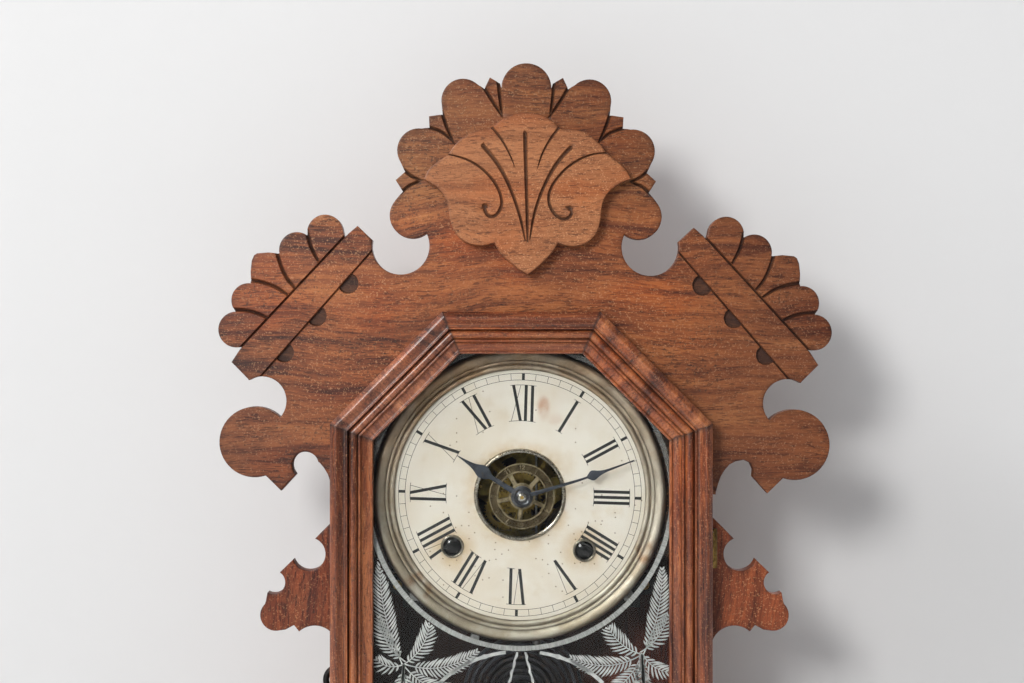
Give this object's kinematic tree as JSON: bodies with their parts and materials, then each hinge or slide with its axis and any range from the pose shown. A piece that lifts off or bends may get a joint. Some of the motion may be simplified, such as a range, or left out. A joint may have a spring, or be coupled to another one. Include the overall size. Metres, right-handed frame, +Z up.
{
  "type": "table clock",
  "caption": "Wooden shelf clock with a carved crest, an octagon-topped glazed door, a Roman dial with an alarm disc, and a time, strike and alarm movement.",
  "frame": {"origin": "middle of the plinth's footprint, on the surface the clock stands on", "axes": "+X to the right of the dial, +Y from the dial to the back, +Z up"},
  "size_m": [0.3683, 0.12, 0.56],
  "materials": {
    "walnut": "oiled, worn, figured",
    "walnut_trim": "shellacked",
    "inner_wood": "plain, unfinished",
    "glass": "old flat glass with a silver stencil",
    "hinge_brass": "dull",
    "latch_iron": "black japanned",
    "dial_tin": "painted",
    "dial_print": "aged cream paper with black print",
    "bezel_nickel": "tarnished nickel",
    "movement_brass": "lacquered, a little tarnished",
    "steel": "polished, a little oily",
    "spring_steel": "blued, oily",
    "hand_blue": "blued steel, nearly black",
    "disc_brass": "tarnished, embossed",
    "gong_steel": "blued spring steel",
    "gong_iron": "japanned"
  },
  "bodies": {
    "case": {"base_front": "walnut", "base_rails": "walnut", "base_deck": "walnut", "case_sides": "walnut", "case_top": "inner_wood", "back_board": "inner_wood", "crest_board": "walnut", "crest_ornament": "walnut_trim", "front_frame": "walnut", "ears": "walnut", "inner_blocks": "inner_wood", "hinge_leaves_case": "hinge_brass", "hinge_pins": "hinge_brass", "case_screws": "hinge_brass", "dial_pan": "dial_tin", "dial_paper": "dial_print", "dial_bezel": "bezel_nickel", "dial_center_ring": "bezel_nickel", "winding_grommets": "disc_brass", "front_plate": "movement_brass", "back_plate": "movement_brass", "pillars": "steel", "pillar_nuts": "steel", "mainsprings": "spring_steel", "suspension_cock": "movement_brass", "gong": "gong_steel", "gong_base": "gong_iron", "alarm_frame": "movement_brass"},
    "door": {"door_stile_left": "walnut_trim", "door_stile_right": "walnut_trim", "door_rail_bottom": "walnut_trim", "door_rail_top": "walnut_trim", "door_diagonals": "walnut_trim", "door_glass": "glass", "glazing_strips": "inner_wood", "hinge_leaves_door": "hinge_brass", "door_screws": "hinge_brass"},
    "latch": {"latch_hook": "latch_iron"},
    "center_arbor": {"center_wheel": "movement_brass", "minute_hand": "hand_blue", "hand_nut": "movement_brass"},
    "hour_pipe": {"hour_wheel": "movement_brass", "hour_hand": "hand_blue"},
    "alarm_dial": {"alarm_disc": "disc_brass"},
    "motion": {"motion_wheel": "movement_brass"},
    "second": {"second_wheel": "movement_brass"},
    "time_main": {"time_main_wheel": "movement_brass"},
    "time_winding": {"time_winding_arbor": "steel"},
    "fourth": {"fourth_wheel": "movement_brass"},
    "escape": {"escape_wheel": "movement_brass"},
    "verge": {"verge": "steel"},
    "pendulum": {"pendulum_rod": "steel", "pendulum_bob": "movement_brass"},
    "strike_main": {"strike_main_wheel": "movement_brass"},
    "strike_winding": {"strike_winding_arbor": "steel"},
    "strike_second": {"strike_second_wheel": "movement_brass"},
    "fly": {"fly": "movement_brass"},
    "hammer": {"strike_hammer": "steel"},
    "alarm_key": {"alarm_winder": "movement_brass"},
    "alarm_striker": {"alarm_hammer": "steel"}
  },
  "joints": [
    {"name": "door_swing", "type": "hinge", "parent": "case", "child": "door", "pos_m": [0.1141, -0.034, 0.19], "axis": [0, 0, 1], "range_deg": [0, 105]},
    {"name": "latch_turn", "type": "hinge", "parent": "case", "child": "latch", "pos_m": [-0.1151, -0.014, 0.172], "axis": [-1, 0, 0], "range_deg": [-12, 90]},
    {"name": "minute_turn", "type": "hinge", "parent": "case", "child": "center_arbor", "pos_m": [-0.0006, 0.024, 0.2992], "axis": [0, 1, 0], "continuous": true},
    {"name": "hour_turn", "type": "hinge", "parent": "case", "child": "hour_pipe", "pos_m": [-0.0006, -0.01, 0.2992], "axis": [0, 1, 0], "continuous": true},
    {"name": "alarm_set", "type": "hinge", "parent": "hour_pipe", "child": "alarm_dial", "pos_m": [-0.0006, -0.021, 0.2992], "axis": [0, 1, 0], "continuous": true},
    {"name": "motion_turn", "type": "hinge", "parent": "case", "child": "motion", "pos_m": [-0.01174, 0.002, 0.28806], "axis": [0, 1, 0], "continuous": true},
    {"name": "second_turn", "type": "hinge", "parent": "case", "child": "second", "pos_m": [0.02483, 0.024, 0.30258], "axis": [0, 1, 0], "continuous": true},
    {"name": "time_main_turn", "type": "hinge", "parent": "case", "child": "time_main", "pos_m": [0.0394, 0.024, 0.2677], "axis": [0, 1, 0], "continuous": true},
    {"name": "time_wind", "type": "hinge", "parent": "time_main", "child": "time_winding", "pos_m": [0.0394, 0.024, 0.2677], "axis": [0, 1, 0], "continuous": true},
    {"name": "fourth_turn", "type": "hinge", "parent": "case", "child": "fourth", "pos_m": [-0.00261, 0.024, 0.32432], "axis": [0, 1, 0], "continuous": true},
    {"name": "escape_turn", "type": "hinge", "parent": "case", "child": "escape", "pos_m": [0.0084, 0.024, 0.3422], "axis": [0, 1, 0], "continuous": true},
    {"name": "verge_rock", "type": "hinge", "parent": "case", "child": "verge", "pos_m": [0.0084, 0, 0.3642], "axis": [0, 1, 0], "range_deg": [-3, 3]},
    {"name": "pendulum_swing", "type": "hinge", "parent": "case", "child": "pendulum", "pos_m": [0.0084, -0.006, 0.3642], "axis": [0, 1, 0], "range_deg": [-3, 3]},
    {"name": "strike_main_turn", "type": "hinge", "parent": "case", "child": "strike_main", "pos_m": [-0.0406, 0.024, 0.2677], "axis": [0, 1, 0], "continuous": true},
    {"name": "strike_wind", "type": "hinge", "parent": "strike_main", "child": "strike_winding", "pos_m": [-0.0406, 0.024, 0.2677], "axis": [0, 1, 0], "continuous": true},
    {"name": "strike_second_turn", "type": "hinge", "parent": "case", "child": "strike_second", "pos_m": [-0.02603, 0.024, 0.30258], "axis": [0, 1, 0], "continuous": true},
    {"name": "fly_turn", "type": "hinge", "parent": "case", "child": "fly", "pos_m": [-0.02957, 0.024, 0.32267], "axis": [0, 1, 0], "continuous": true},
    {"name": "hammer_lift", "type": "hinge", "parent": "case", "child": "hammer", "pos_m": [-0.0146, 0.024, 0.2352], "axis": [0, 1, 0], "range_deg": [0, 18], "stiffness_Nm_per_rad": 0.002, "springref_deg": -11.46},
    {"name": "alarm_wind", "type": "hinge", "parent": "case", "child": "alarm_key", "pos_m": [-0.068, 0.04, 0.122], "axis": [0, 1, 0], "continuous": true},
    {"name": "alarm_hammer_lift", "type": "hinge", "parent": "case", "child": "alarm_striker", "pos_m": [-0.057, 0.04, 0.143], "axis": [0, -1, 0], "range_deg": [0, 18]}
  ],
  "couplings": [
    {"joint": "hour_turn", "follows": "minute_turn", "ratio": 0.083333},
    {"joint": "motion_turn", "follows": "minute_turn", "ratio": -0.33333},
    {"joint": "second_turn", "follows": "minute_turn", "ratio": -0.2},
    {"joint": "time_main_turn", "follows": "minute_turn", "ratio": 0.033333},
    {"joint": "fourth_turn", "follows": "minute_turn", "ratio": -11},
    {"joint": "escape_turn", "follows": "minute_turn", "ratio": 121},
    {"joint": "verge_rock", "follows": "pendulum_swing", "ratio": 1},
    {"joint": "strike_second_turn", "follows": "strike_main_turn", "ratio": -6},
    {"joint": "fly_turn", "follows": "strike_main_turn", "ratio": 45}
  ]
}
